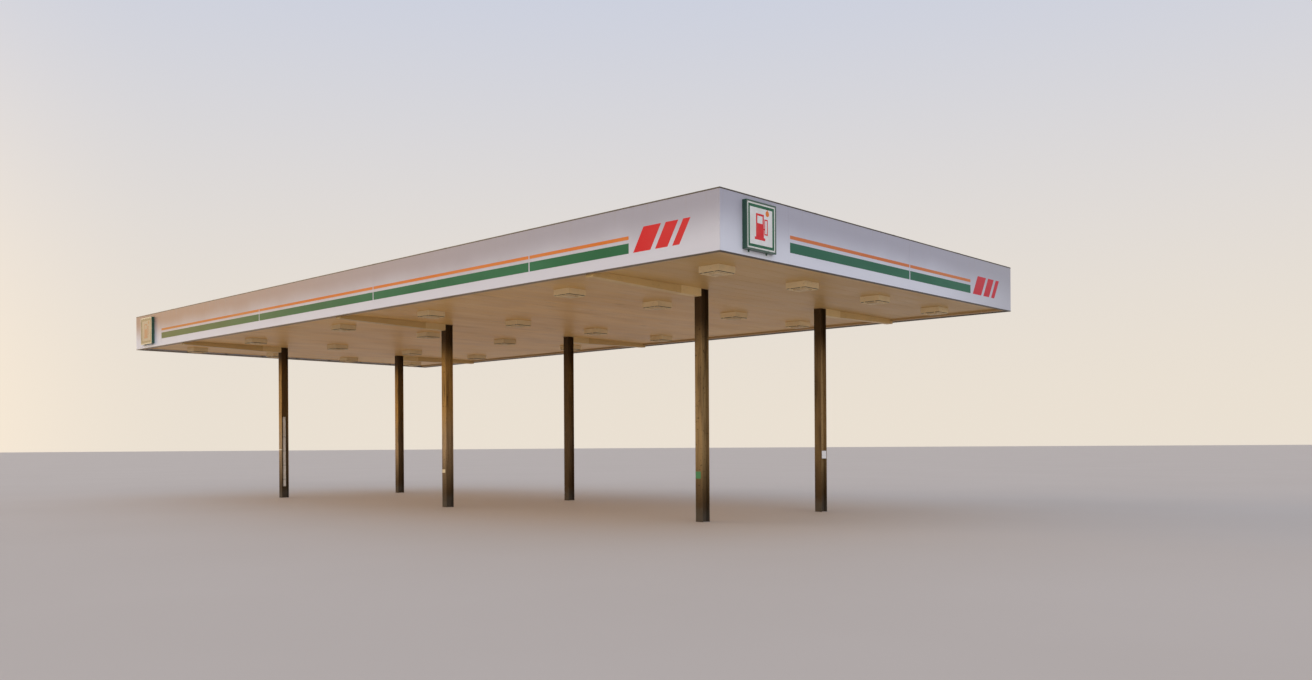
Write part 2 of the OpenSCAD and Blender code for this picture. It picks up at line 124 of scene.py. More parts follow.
def own_place(finish, stretch=(1, 1, 1)):
    """The piece's own coordinates, stretched so that a pattern can run along it."""
    place = add_node(finish, "ShaderNodeTexCoord", {}).outputs["Object"]
    return add_node(finish, "ShaderNodeMapping", {"Vector": place, "Scale": stretch}).outputs[0]


def cloud(finish, scale, stretch=(1, 1, 1), detail=4.0):
    """A soft random pattern from 0 to 1, with about scale patches to the metre."""
    return add_node(finish, "ShaderNodeTexNoise", {"Vector": own_place(finish, stretch),
        "Scale": scale, "Detail": detail}).outputs[0]


def along(finish, axis):
    """One of the piece's own coordinates, in metres."""
    return add_node(finish, "ShaderNodeSeparateXYZ", {0: own_place(finish)}).outputs[axis]


def rise(finish, value, low, high):
    """0 below low and 1 above high, smooth between them."""
    return add_node(finish, "ShaderNodeMapRange", {"Value": value, "From Min": low,
        "From Max": high}, interpolation_type="SMOOTHSTEP").outputs[0]


def patches(finish, scale, low, high, stretch=(1, 1, 1)):
    """Soft patches where a cloud of this scale rises from low to high."""
    return rise(finish, cloud(finish, scale, stretch), low, high)


def towards(finish, axis, low, high):
    """0 at the place low along the canopy and 1 at the place high, smooth between them."""
    return rise(finish, along(finish, axis), low, high)


def between(finish, share, low, high):
    """A value that goes from low to high with share."""
    return add_node(finish, "ShaderNodeMapRange", {"Value": share, "To Min": low,
        "To Max": high}).outputs[0]


def reckon(finish, how, a, b):
    """Two values put together, such as by ADD or SUBTRACT."""
    return add_node(finish, "ShaderNodeMath", {0: a, 1: b}, operation=how).outputs[0]


def times(finish, a, b):
    return reckon(finish, "MULTIPLY", a, b)


def rest_of(finish, share):
    return reckon(finish, "SUBTRACT", 1.0, share)


def lay_over(finish, first, *layers):
    """A first colour with others laid over it in turn. A layer is its share and its colour,
    and can end with how much of it there is at most."""
    under = (*first, 1)
    for share, colour, *most in layers:
        if most:
            share = times(finish, share, *most)
        under = add_node(finish, "ShaderNodeMix", {0: share, 6: under, 7: (*colour, 1)},
            data_type="RGBA").outputs[2]
    return under


def end_finish(finish, colour, relief=None, relief_height=0.001, rough=None):
    """Joins what the patterns give to the shader."""
    given = {"Base Color": colour, "Roughness": rough}
    if relief is not None:
        given["Normal"] = add_node(finish, "ShaderNodeBump", {"Height": relief,
            "Distance": relief_height}).outputs[0]
    shader = finish.node_tree.nodes["Principled BSDF"]
    for key, value in given.items():
        if value is not None:
            finish.node_tree.links.new(value, shader.inputs[key])
    return finish


def paint_nodes(finish, *names):
    """Gives pieces of the frame their finish."""
    for name in names:
        for place in nodes[name].material_slots:
            place.material = finish


def deselect():
    bpy.ops.object.select_all(action="DESELECT")


def activate(piece):
    deselect()
    piece.select_set(True)
    bpy.context.view_layer.objects.active = piece


def settle(name):
    """Names the new primitive and puts its place and size into its mesh."""
    bpy.ops.object.transform_apply(location=True, rotation=True, scale=True)
    piece = bpy.context.object
    piece.name = piece.data.name = name
    return piece


def sheet(name, wide, long, middle=(0, 0, 0), turn=(0, 0, 0)):
    """A flat sheet, to be folded by extruding its edges."""
    deselect()
    bpy.ops.mesh.primitive_plane_add(size=1, location=middle, rotation=turn)
    bpy.context.object.scale = (wide, long, 1)
    return settle(name)


def pick(piece, wanted, kind="FACE"):
    """Opens a piece for editing with the faces or edges selected that are wanted."""
    activate(piece)
    bpy.ops.object.mode_set(mode="EDIT")
    bpy.ops.mesh.select_mode(type=kind)
    bpy.ops.mesh.select_all(action="DESELECT")
    mesh = bmesh.from_edit_mesh(piece.data)
    for part in mesh.faces if kind == "FACE" else mesh.edges:
        middle = sum((corner.co for corner in part.verts), Vector()) / len(part.verts)
        part.select = bool(wanted(middle, part))
    mesh.select_flush_mode()
    bmesh.update_edit_mesh(piece.data)


def inset(rim, depth=0.0):
    bpy.ops.mesh.inset(thickness=rim, depth=depth)


def close():
    bpy.ops.object.mode_set(mode="OBJECT")


def fold(piece, wanted, *steps):
    """Folds a sheet on: extrudes the edges whose middle is wanted, by one step after another."""
    pick(piece, lambda middle, edge: wanted(middle), "EDGE")
    for step in steps:
        bpy.ops.mesh.extrude_edges_move(TRANSFORM_OT_translate={"value": step})
    close()


def shape(piece, kind, **settings):
    """Puts a modifier on a piece and applies it."""
    activate(piece)
    tool = piece.modifiers.new(kind.lower(), kind)
    for key, value in settings.items():
        setattr(tool, key, value)
    bpy.ops.object.modifier_apply(modifier=tool.name)
    return piece


def thicken(piece, sheet_thick):
    return shape(piece, "SOLIDIFY", thickness=sheet_thick, offset=0)


def join(name, parts):
    """Joins parts to one piece."""
    deselect()
    for part in parts:
        part.select_set(True)
    bpy.context.view_layer.objects.active = parts[0]
    bpy.ops.object.join()
    parts[0].name = parts[0].data.name = name
    return parts[0]


def copies(model, places):
    """Copies a finished model to every place, each with its own mesh, and joins the copies."""
    name, made = model.name, []
    for place in places:
        twin = model.copy()
        twin.data = model.data.copy()
        twin.data.transform(place)
        bpy.context.scene.collection.objects.link(twin)
        made.append(twin)
    bpy.data.objects.remove(model)
    return join(name, made)


def turn_by(degrees, axis="Z"):
    return Matrix.Rotation(math.radians(degrees), 4, axis)


def shift(x, y, z=0.0, turn=0):
    """A place on the canopy, turned by some degrees seen from above."""
    return Matrix.Translation((x, y, z)) @ turn_by(turn)


def fit(piece, finish, slot, *stands_for):
    """Gives a finished piece its finish and fixes it on the canopy."""
    piece.data.materials.clear()
    piece.data.materials.append(finish)
    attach(piece, "root")
    if stands_for:
        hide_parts(*stands_for)
    return piece


def bronze_paint(name, row, flange_light, web_light):
    # Painted light: the chalky, pale and golden colours stand for light on the dark bronze paint.
    dark, paler_tone = (0.066, 0.037, 0.013), (0.38, 0.255, 0.11)
    pale, golden_light = (0.47, 0.33, 0.18), (0.53, 0.31, 0.085)
    stain, mud, rust = (0.05, 0.03, 0.014), (0.085, 0.068, 0.048), (0.13, 0.045, 0.02)
    finish = start_finish(name, dark, 0.5, shine=0.15)
    up = along(finish, "Z")
    runs = cloud(finish, 9, (1, 1, 0.12))
    off_middle = reckon(finish, "SUBTRACT", along(finish, "Y"), row)
    flange = rise(finish, reckon(finish, "ABSOLUTE", off_middle, 0.0), 0.11, 0.12)
    # Painted light: the share of lit paint, set for the flange and the web of each column, darker
    # towards the bottom, with a painted shadow of the fascia at the top whose edge is higher at
    # the left.
    shadow_height = reckon(finish, "ADD", up, times(finish, along(finish, "X"), 0.02))
    tone_shift = between(finish, flange, web_light, flange_light)
    tone_shift = times(finish, tone_shift, rise(finish, up, 0.2, 2.0))
    tone_shift = times(finish, tone_shift, rise(finish, shadow_height, 4.9, 4.0))
    tone_shift = times(finish, tone_shift, rise(finish, runs, 0.1, 0.6))
    # Painted light: paler towards the left, and golden high up at the left for a low warm sun.
    left = towards(finish, "X", 8.0, -1.0)
    high_up = times(finish, left, rise(finish, up, 1.8, 3.2))
    splash = reckon(finish, "ADD", up, times(finish, cloud(finish, 6), -0.5))
    splash = rest_of(finish, rise(finish, splash, -0.2, 0.25))
    chips = rise(finish, cloud(finish, 60, detail=2), 0.73, 0.76)
    colour = lay_over(finish, paler_tone, (left, pale), (high_up, golden_light),
        (rest_of(finish, tone_shift), dark), (patches(finish, 22, 0.62, 0.72), stain),
        (splash, mud), (chips, rust))
    return end_finish(finish, colour, cloud(finish, 45, (1, 1, 0.3)), 0.0015,
        between(finish, runs, 0.5, 0.8))


def cream_enamel(name, cream):
    """Baked enamel of what sits in the ceiling or hangs on it, with a film of soot, and painted
    shade towards the left end.
    """
    tan, dark_tone = [tuple(share * part for part in cream) for share in (0.93, 0.62)]
    finish = start_finish(name, cream, 0.42)
    # Painted shade: half of the darker tone is laid on towards the left end, where less light
    # reaches these pieces.
    colour = lay_over(finish, cream, (patches(finish, 3, 0.35, 0.75), tan),
        (patches(finish, 30, 0.6, 0.8), dark_tone), (towards(finish, "X", 10.0, -4.0), dark_tone, 0.5))
    return end_finish(finish, colour, cloud(finish, 80), 0.0003)


for name, place, flange_light, web_light in zip(COLUMNS, column_places, FLANGE_LIGHT, WEB_LIGHT):
    paint_nodes(bronze_paint(name + "_paint", place.y, flange_light, web_light), name)

collar = sheet("column_collars", COLUMN_WIDE + 2 * (COLLAR_GAP + COLLAR_WIDE),
    COLUMN_DEEP + 2 * (COLLAR_GAP + COLLAR_WIDE), (0, 0, ceiling - COLLAR_SHEET))
pick(collar, lambda middle, face: True)
inset(COLLAR_WIDE)
bpy.ops.mesh.delete(type="FACE")
bpy.ops.mesh.select_all(action="SELECT")
bpy.ops.mesh.bisect(plane_co=(0, -COLUMN_DEEP / 2, 0), plane_no=(0, -1, 0), clear_outer=True)
close()
inner_x, inner_y = COLUMN_WIDE / 2 + COLLAR_GAP, COLUMN_DEEP / 2 + COLLAR_GAP
fold(collar, lambda middle: abs(abs(middle.x) - inner_x) < 1e-4 or abs(middle.y - inner_y) < 1e-4,
    (0, 0, -COLLAR_DOWN))
thicken(collar, COLLAR_SHEET)
fit(copies(collar, [shift(place.x, place.y, turn=0 if place.y < 0 else 180)
    for place in column_places]), cream_enamel("collar_enamel", (0.66, 0.44, 0.2)), "deck_enamel")

# Column bolts: four bolts through each cap plate hold the cross beam down. Zinc plated hexagon
# nuts on round washers stand on the lower flange of the beam.
NUT_ACROSS = 0.036
NUT_HIGH = 0.018
WASHER_WIDE = 0.05
WASHER_THICK = 0.004
CAP_BOLT_OUT = 0.07
BEAM_FLANGE = 0.015


def rod(name, sides, radius, long, middle, turn=(0, 0, 0)):
    """A round bar or disc, upright until it is turned."""
    deselect()
    bpy.ops.mesh.primitive_cylinder_add(vertices=sides, radius=radius, depth=long,
        location=middle, rotation=turn)
    return settle(name)


def looks_up(middle, face):
    return face.normal.z > 0.9


def pull(by):
    """Extrudes the selected faces."""
    bpy.ops.mesh.extrude_region_move(TRANSFORM_OT_translate={"value": by})


def stamp(piece, wanted, rim, by):
    """Insets the wanted faces by a rim and pulls what is inside it in or out."""
    pick(piece, wanted)
    inset(rim)
    pull(by)
    close()


def nut(name, across, high, washer):
    """A nut on its washer with the bolt's end standing out, on the plane z = 0."""
    made = rod(name, 6, across / math.sqrt(3), high, (0, 0, WASHER_THICK + high / 2))
    stamp(made, looks_up, across * 0.2, (0, 0, high * 0.4))
    under = rod("washer", 12, washer / 2, WASHER_THICK, (0, 0, WASHER_THICK / 2))
    return join(name, [made, under])


def worn_finish(name, colour, rough, worn, wear, relief, **values):
    """One colour with soft patches of a worn one. Wear is the patches' scale and limits, and
    relief the scale and height of a fine unevenness."""
    finish = start_finish(name, colour, rough, **values)
    colour = lay_over(finish, colour, (patches(finish, *wear), worn))
    return end_finish(finish, colour, cloud(finish, relief[0]), relief[1])


zinc_finish = worn_finish("zinc", (0.42, 0.41, 0.38), 0.42, (0.2, 0.08, 0.03), (30, 0.52, 0.66),
    (200, 0.0004), metal=0.8)
fit(copies(nut("column_bolts", NUT_ACROSS, NUT_HIGH, WASHER_WIDE),
    [shift(place.x + x, place.y + y, steel + BEAM_FLANGE)
        for place in column_places
        for x in (-CAP_BOLT_OUT, CAP_BOLT_OUT)
        for y in (-CAP_BOLT_OUT, CAP_BOLT_OUT)]), zinc_finish, "galvanised_steel")

# Column fittings: a small green plate and a cream one on two front columns, a blank white plate
# across one back column, each with two screws, and a steel band round the front left column.
PLATE_BACK, PLATE_FACE = -0.001, -0.003
PLATE_OFF = 0.02
PLATE_SCREW_IN = 0.014
BAND_HEIGHT = 1.7
BAND_BROAD = 0.032
BAND_SHEET = 0.0015
BAND_RETURN = 0.02
UPRIGHT = (math.radians(90), 0, 0)
front_left, front_mid, front_right = column_places[:3]
back_right = column_places[5]


def block(name, low, high):
    """A block between two corners, to be shaped further."""
    deselect()
    low, high = Vector(low), Vector(high)
    bpy.ops.mesh.primitive_cube_add(size=1, location=(low + high) / 2)
    bpy.context.object.scale = high - low
    return settle(name)


def soften(piece, width, steps=2):
    return shape(piece, "BEVEL", width=width, segments=steps, limit_method="ANGLE",
        angle_limit=math.radians(50))


def looks_front(middle, face):
    return face.normal.y < -0.9


def coloured_sheet(name, colour):
    """Painted sheet with rubbed and dusty patches."""
    dusty = tuple(0.75 * part + 0.06 for part in colour)
    return worn_finish(name, colour, 0.4, dusty, (35, 0.55, 0.8), (90, 0.0003))


def plate(name, wide, high, place, turn, finish, slot):
    """A thin plate with two screws, facing -Y before it is turned."""
    body = block(name, (-wide / 2, PLATE_FACE, -high / 2), (wide / 2, PLATE_BACK, high / 2))
    parts = [soften(body, 0.0008, 1)]
    for up in (-1, 1):
        screw = rod("screw", 8, 0.005, 0.003, (0, -0.0045, up * (high / 2 - PLATE_SCREW_IN)),
            UPRIGHT)
        stamp(screw, looks_front, 0.0015, (0, 0.001, 0))
        parts.append(screw)
    body = join(name, parts)
    body.data.transform(shift(*place, turn))
    fit(body, finish, slot)


plate("column_plate_green", 0.15, 0.16,
    (front_right.x - PLATE_OFF, front_right.y - COLUMN_DEEP / 2, 1.07), 0,
    coloured_sheet("plate_green", (0.03, 0.22, 0.07)), "sign_green")
plate("column_plate_cream", 0.14, 0.1,
    (front_mid.x - PLATE_OFF, front_mid.y - COLUMN_DEEP / 2, 1.05), 0,
    coloured_sheet("plate_cream", (0.72, 0.62, 0.4)), "guard_white")
plate("column_plate_white", 0.2, 0.2,
    (back_right.x + COLUMN_WIDE / 2, back_right.y, 1.49), 90,
    coloured_sheet("plate_white", (0.8, 0.8, 0.8)), "guard_white")

band = sheet("column_band", COLUMN_WIDE, BAND_BROAD,
    (0, -COLUMN_DEEP / 2 - BAND_SHEET / 2, BAND_HEIGHT), UPRIGHT)
fold(band, lambda middle: abs(middle.x) > COLUMN_WIDE / 2 - 1e-4, (0, BAND_RETURN, 0))
thicken(band, BAND_SHEET)
buckle = block("buckle", (0.02, -COLUMN_DEEP / 2 - 0.008, BAND_HEIGHT - 0.02),
    (0.07, -COLUMN_DEEP / 2 - BAND_SHEET, BAND_HEIGHT + 0.02))
stamp(buckle, looks_front, 0.006, (0, 0.003, 0))
band = join("column_band", [band, soften(buckle, 0.001, 1)])
band.data.transform(shift(front_left.x, front_left.y))
fit(band, coloured_sheet("band_paint", (0.62, 0.56, 0.42)), "galvanised_steel")

# Column head boxes: folded enamel boxes under the ceiling, on the outer side of each column
# head, with a bevelled cover on the underside that is held by four screws.
LID_RIM = 0.012
LID_DROP = 0.004


def looks_down(middle, face):
    return face.normal.z < -0.9


def head_box_cover(left, right, front, back, bottom):
    """Cover plate of one box: a bevelled tray with a turned edge and four screws."""
    lid = block("cover", (left + LID_RIM, front + LID_RIM, bottom - LID_DROP),
        (right - LID_RIM, back - LID_RIM, bottom))
    stamp(lid, looks_down, 0.015, (0, 0, LID_DROP / 2))
    parts = [soften(lid, 0.001, 1)]
    for x in (left + 3 * LID_RIM, right - 3 * LID_RIM):
        for y in (front + 3 * LID_RIM, back - 3 * LID_RIM):
            screw = rod("screw", 8, 0.006, 0.004, (x, y, bottom - LID_DROP))
            parts.append(soften(screw, 0.001, 1))
    return join("cover", parts)


boxes_finish = cream_enamel("head_box_enamel", (0.93, 0.71, 0.34))
paint_nodes(boxes_finish, "column_head_boxes")
box_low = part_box("column_head_boxes")[0]
head_box_len = -box_low.y - abs(front_right.y) - COLUMN_DEEP / 2
covers = []
for place in column_places:
    side = -1 if place.y < 0 else 1
    ends = sorted(place.y + side * (COLUMN_DEEP / 2 + out) for out in (0, head_box_len))
    covers.append(head_box_cover(place.x - COLUMN_WIDE / 2, place.x + COLUMN_WIDE / 2, *ends,
        box_low.z))
fit(join("head_box_covers", covers), boxes_finish, "deck_enamel")

# Leader boxes: the rain water of the gutters runs to the columns in folded enamel boxes that go
# on from the head boxes and fall towards them. Each one ends in a shoe under the gutter and
# hangs in straps whose feet are screwed to the ceiling.
GUTTER_LIP = 0.03
LEADER_FALL = 0.055
SHOE_LONG = 0.12
HANGER_EVERY = 0.75
HANGER_WIDE = 0.03
HANGER_SHEET = 0.002
FOOT_LONG = 0.035
gutter_low, gutter_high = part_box("gutter_front")
gutter_wall = gutter_high.y - GUTTER_LIP
leader_half = COLUMN_WIDE / 2 - 0.002


def move(by):
    bpy.ops.transform.translate(value=by)


def leader_box():
    """The box of a front column, with its inner end at the head box."""
    made = block("leader_boxes", (-leader_half, gutter_wall, box_low.z),
        (leader_half, box_low.y - 0.001, ceiling - 0.0005))
    pick(made, lambda middle, edge: middle.z < box_low.z + 1e-4
        and middle.y < gutter_wall + 1e-4, "EDGE")
    move((0, 0, LEADER_FALL))
    bpy.ops.mesh.select_all(action="SELECT")
    bpy.ops.mesh.bisect(plane_co=(0, 0, gutter_low.z - 0.001), plane_no=(0, 0, 1))
    close()
    pick(made, lambda middle, face: looks_front(middle, face) and middle.z < gutter_low.z)
    pull((0, -SHOE_LONG, 0))
    close()
    return soften(made, 0.004)


def hanger(y):
    """A strap round the box, with a screwed foot on each side of it."""
    low = box_low.z + LEADER_FALL * (box_low.y - y) / (box_low.y - gutter_wall)
    strap = sheet("hanger", COLUMN_WIDE + 2 * HANGER_SHEET, HANGER_WIDE,
        (0, y, low - HANGER_SHEET / 2))
    fold(strap, lambda middle: abs(middle.x) > leader_half, (0, 0, ceiling - low))
    for side in (-1, 1):
        fold(strap, lambda middle: middle.z > ceiling - 2 * HANGER_SHEET and middle.x * side > 0,
            (side * FOOT_LONG, 0, 0))
    parts = [thicken(strap, HANGER_SHEET)]
    for side in (-1, 1):
        screw = rod("screw", 8, 0.007, 0.005, (side * (leader_half + FOOT_LONG * 0.6), y,
            ceiling - HANGER_SHEET - 0.0025))
        parts.append(soften(screw, 0.001, 1))
    return join("hanger", parts)


leader_spots = [shift(place.x, 0, turn=0 if place.y < 0 else 180) for place in column_places]
leader_finish = cream_enamel("leader_enamel", (0.78, 0.55, 0.225))
fit(copies(leader_box(), leader_spots), leader_finish, "deck_enamel")
hanger_run = box_low.y - gutter_wall - HANGER_WIDE
hanger_count = int(hanger_run / HANGER_EVERY)
hangers = [hanger(box_low.y - hanger_run * i / hanger_count) for i in range(hanger_count + 1)]
fit(copies(join("leader_hangers", hangers), leader_spots), leader_finish, "deck_enamel")

# Cable guard: a white plastic channel in the web of the front left column, with a strap of
# zinc plated sheet over it at every half metre.
STRAP_EVERY = 0.5
STRAP_WIDE = 0.02
STRAP_THICK = 0.0015

paint_nodes(worn_finish("guard_plastic", (0.74, 0.71, 0.64), 0.55, (0.5, 0.44, 0.34),
    (14, 0.45, 0.8, (1, 1, 0.2)), (60, 0.0004)), "cable_guard")
guard_low, guard_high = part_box("cable_guard")
guard_wide = guard_high.y - guard_low.y
strap = sheet("guard_straps", STRAP_WIDE, guard_wide,
    (guard_high.x + STRAP_THICK / 2, (guard_low.y + guard_high.y) / 2, 0),
    (0, math.radians(90), 0))
fold(strap, lambda middle: abs(abs(middle.y - front_left.y) - guard_wide / 2) < 1e-4,
    (guard_low.x - guard_high.x, 0, 0))
thicken(strap, STRAP_THICK)
strap_count = int((guard_high.z - guard_low.z) / STRAP_EVERY)
fit(copies(strap, [shift(0, 0, guard_low.z + (i + 0.5) * STRAP_EVERY)
    for i in range(strap_count)]), zinc_finish, "galvanised_steel")

# Cross beams, purlins and edge channels: rolled steel in red oxide primer, chalky and rusting
# where it was scraped in building. It shows from above only.
STEEL_NODES = ["cross_beam_left", "cross_beam_mid", "cross_beam_right",
    "purlins_left_end", "purlins_left_bay", "purlins_right_bay", "purlins_right_end",
    "edge_channel_front", "edge_channel_right", "edge_channel_back", "edge_channel_left"]


def facing_up(finish):
    """How far the surface looks up, from -1 to 1."""
    normal = add_node(finish, "ShaderNodeNewGeometry", {}).outputs["Normal"]
    return add_node(finish, "ShaderNodeSeparateXYZ", {0: normal}).outputs["Z"]


def oxide_primer():
    primer, paler_tone = (0.27, 0.075, 0.04), (0.33, 0.13, 0.085)
    rust, dust = (0.15, 0.055, 0.025), (0.34, 0.27, 0.22)
    finish = start_finish("oxide_primer", primer, 0.75)
    top = rise(finish, facing_up(finish), 0.5, 0.9)
    colour = lay_over(finish, primer, (patches(finish, 2.5, 0.35, 0.7), paler_tone),
        (patches(finish, 14, 0.56, 0.68), rust),
        (times(finish, top, patches(finish, 5, 0.3, 0.7)), dust))
    return end_finish(finish, colour, cloud(finish, 60), 0.001)


primer_finish = oxide_primer()
paint_nodes(primer_finish, *STEEL_NODES)

# Cleats: pairs of short angles bolt the purlins to the beam webs and the purlins and beams to
# the edge channels, with three zinc plated nuts on each leg.
CLEAT_LEG = 0.09
CLEAT_HIGH = 0.19
CLEAT_THICK = 0.008
CLEAT_NUT = 0.024
CLEAT_NUT_HIGH = 0.012
PURLIN_WEB = 0.006
PURLIN_HALF = 0.051
BEAM_WEB = 0.009
CLEAT_AT_BEAM = 0.165
CLEAT_AT_CHANNEL = 0.135
beam_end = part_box("cross_beam_mid")[1].y
purlin_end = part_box("purlins_right_end")[1].x
beam_places = [(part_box(name)[0].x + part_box(name)[1].x) / 2 for name in STEEL_NODES[:3]]
row = abs(front_right.y)
purlin_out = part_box("purlins_right_bay")[1].y - PURLIN_HALF
purlin_lines = [-purlin_out, -row, 0.0, row, purlin_out]

cleat = sheet("steel_cleats", CLEAT_LEG, CLEAT_HIGH, (CLEAT_LEG / 2, CLEAT_THICK / 2, 0), UPRIGHT)
fold(cleat, lambda middle: middle.x < 1e-4, (0, CLEAT_LEG, 0))
cleat.data.transform(shift(CLEAT_THICK / 2, 0))
thicken(cleat, CLEAT_THICK)
nut_out = CLEAT_LEG * 0.6
nut_heights = [up * CLEAT_HIGH * 0.33 for up in (-1, 0, 1)]
leg_places = [shift(nut_out, CLEAT_THICK, up) @ turn_by(-90, "X") for up in nut_heights]
leg_places += [shift(CLEAT_THICK, nut_out, up) @ turn_by(90, "Y") for up in nut_heights]
cleat_nut = copies(nut("cleat_nuts", CLEAT_NUT, CLEAT_NUT_HIGH, CLEAT_NUT * 1.5), leg_places)
corner_turn = {(1, 1): 0, (-1, 1): 90, (-1, -1): 180, (1, -1): 270}
cleat_places = []
for line in purlin_lines:
    for (side, hand), turn in corner_turn.items():
        y = line + hand * PURLIN_WEB / 2
        for beam in beam_places:
            cleat_places.append(shift(beam + side * BEAM_WEB / 2, y, steel + CLEAT_AT_BEAM, turn))
        cleat_places.append(shift(-side * purlin_end, y, steel + CLEAT_AT_CHANNEL, turn))
for beam in beam_places:
    for (hand, side), turn in corner_turn.items():
        cleat_places.append(shift(beam + hand * BEAM_WEB / 2, -side * beam_end,
            steel + CLEAT_AT_CHANNEL, turn))
fit(copies(cleat, cleat_places), primer_finish, "primed_steel")
fit(copies(cleat_nut, cleat_places), zinc_finish, "galvanised_steel")

# Deck pans: roll formed steel sheets side by side, enamelled in cream. Each pan came out a
# little different, soot and water runs lie along them, and the open top is dusty and rusting.
# Painted shade browns the cream towards the right end.
PAN_WIDE = 0.4064


def deck_enamel():
    cream, tan, dark_tone = (0.88, 0.57, 0.21), (0.74, 0.455, 0.155), (0.31, 0.19, 0.07)
    right_shade, dust, rust = (0.54, 0.36, 0.135), (0.36, 0.31, 0.26), (0.19, 0.075, 0.03)
    finish = start_finish("deck_enamel", cream, 0.4)
    across = reckon(finish, "ADD", along(finish, "X"), 100.5 * PAN_WIDE)
    pan = reckon(finish, "FLOOR", reckon(finish, "DIVIDE", across, PAN_WIDE), 0.0)
    tone = add_node(finish, "ShaderNodeTexWhiteNoise", {"W": pan}, noise_dimensions="1D")
    top = rise(finish, facing_up(finish), 0.2, 0.6)
    # Painted shade: the cream browns towards the right end.
    colour = lay_over(finish, cream, (tone.outputs[0], tan, 0.45),
        (patches(finish, 1.2, 0.4, 0.75, (1, 0.35, 1)), tan),
        (patches(finish, 7, 0.58, 0.8, (1, 0.12, 1)), dark_tone, 0.5),
        (towards(finish, "X", 5.0, 12.0), right_shade, 0.6),
        (times(finish, top, patches(finish, 3, 0.25, 0.6)), dust),
        (times(finish, top, patches(finish, 9, 0.58, 0.7, (1, 0.4, 1))), rust))
    return end_finish(finish, colour, cloud(finish, 1.6, (1, 0.4, 1)), 0.004,
        between(finish, cloud(finish, 2, (1, 0.3, 1)), 0.3, 0.55))


paint_nodes(deck_enamel(), "deck_1", "deck_2", "deck_3", "deck_4", "deck_5")

# Deck clips: a strap of galvanised sheet at each crossing of a rib and a purlin, hooked over
# the purlin flange and screwed to the hem of the rib. The sides change from rib to rib.
CLIP_WIDE = 0.024
CLIP_SHEET = 0.002
CLIP_LIP = 0.022
CLIP_TAIL = 0.03
CLEAR_OF_BEAM = 0.13
PURLIN_FLANGE = 0.008

clip = sheet("deck_clips", CLIP_WIDE, CLIP_LIP, (0, -CLIP_LIP / 2, PURLIN_FLANGE + CLIP_SHEET / 2))
fold(clip, lambda middle: middle.y > -1e-4, (0, CLIP_SHEET, 0), (0, 0, -PURLIN_FLANGE),
    (0, CLIP_TAIL, 0))
thicken(clip, CLIP_SHEET)
clip_screw = rod("clip_screw", 6, 0.007, 0.006, (0, CLIP_TAIL * 0.6, CLIP_SHEET + 0.003))
pick(clip_screw, looks_up)
inset(0.002)
close()
clip = join("deck_clips", [clip, clip_screw])
ribs = int(2 * (purlin_end + 0.02) / PAN_WIDE)
ribs -= ribs % 2 == 0
clip_places = []
for i in range(ribs + 1):
    x = (i - ribs / 2) * PAN_WIDE
    off_beams = all(abs(x - beam) > CLEAR_OF_BEAM for beam in beam_places)
    if off_beams and abs(x) < purlin_end - CLIP_WIDE:
        for j, line in enumerate(purlin_lines):
            side = 1 if (i + j) % 2 == 0 else -1
            clip_places.append(shift(x, line + side * PURLIN_HALF, steel, 0 if side > 0 else 180))


def galvanised():
    dark, bright, bloom = (0.36, 0.37, 0.37), (0.5, 0.51, 0.51), (0.6, 0.59, 0.56)
    finish = start_finish("galvanised", (0.4, 0.41, 0.41), 0.5, metal=0.55)
    flake = add_node(finish, "ShaderNodeTexVoronoi", {"Vector": own_place(finish), "Scale": 90.0})
    flake = add_node(finish, "ShaderNodeSeparateColor", {0: flake.outputs["Color"]}).outputs[0]
    colour = lay_over(finish, dark, (flake, bright), (patches(finish, 6, 0.5, 0.75), bloom, 0.7))
    return end_finish(finish, colour, cloud(finish, 50), 0.0005)


galvanised_finish = galvanised()
fit(copies(clip, clip_places), galvanised_finish, "galvanised_steel")

# Gutters: folded troughs in the colour of the ceiling, with a leaf guard on each outlet and a
# strap across the top that keeps them from spreading.
GUTTER_STRAP_EVERY = 1.2
GUTTER_STRAP_WIDE = 0.03
GUTTER_STRAP_SHEET = 0.002
OUTLET_IN = 0.095
OUTLET_OFF = 0.35

for name in ("gutter_front", "gutter_back"):
    paint_nodes(cream_enamel(name + "_enamel", (0.6, 0.4, 0.18)), name)
deck_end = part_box("deck_3")[1].y
strap_run = (gutter_low.y + 0.004, -deck_end + 0.02)
gutter_strap = sheet("gutter_straps", GUTTER_STRAP_WIDE, strap_run[1] - strap_run[0],
    (0, (strap_run[0] + strap_run[1]) / 2, ceiling + 0.004))
fold(gutter_strap, lambda middle: middle.y < strap_run[0] + 1e-4, (0, 0, 0.03))
thicken(gutter_strap, GUTTER_STRAP_SHEET)
strap_steps = int(2 * gutter_high.x / GUTTER_STRAP_EVERY)
strap_places = [shift(side * (i - strap_steps / 2) * GUTTER_STRAP_EVERY, 0, 0,
    0 if side > 0 else 180) for i in range(strap_steps + 1) for side in (1, -1)]
fit(copies(gutter_strap, strap_places), galvanised_finish, "galvanised_steel")

leaf_guard = rod("gutter_outlets", 16, 0.05, 0.012, (0, 0, 0.006))
for step, shrink in ((0.014, 0.85), (0.012, 0.7), (0.006, 0.4)):
    pick(leaf_guard, looks_up)
    pull((0, 0, step))
    bpy.ops.transform.resize(value=(shrink, shrink, 1), center_override=(0, 0, 0))
    close()
shape(leaf_guard, "WIREFRAME", thickness=0.004)
outlet_y = gutter_low.y + OUTLET_IN
fit(copies(leaf_guard, [shift(beam + OUTLET_OFF, side * outlet_y,
    gutter_low.z + 0.003) for beam in beam_places for side in (1, -1)]),
    galvanised_finish, "galvanised_steel")

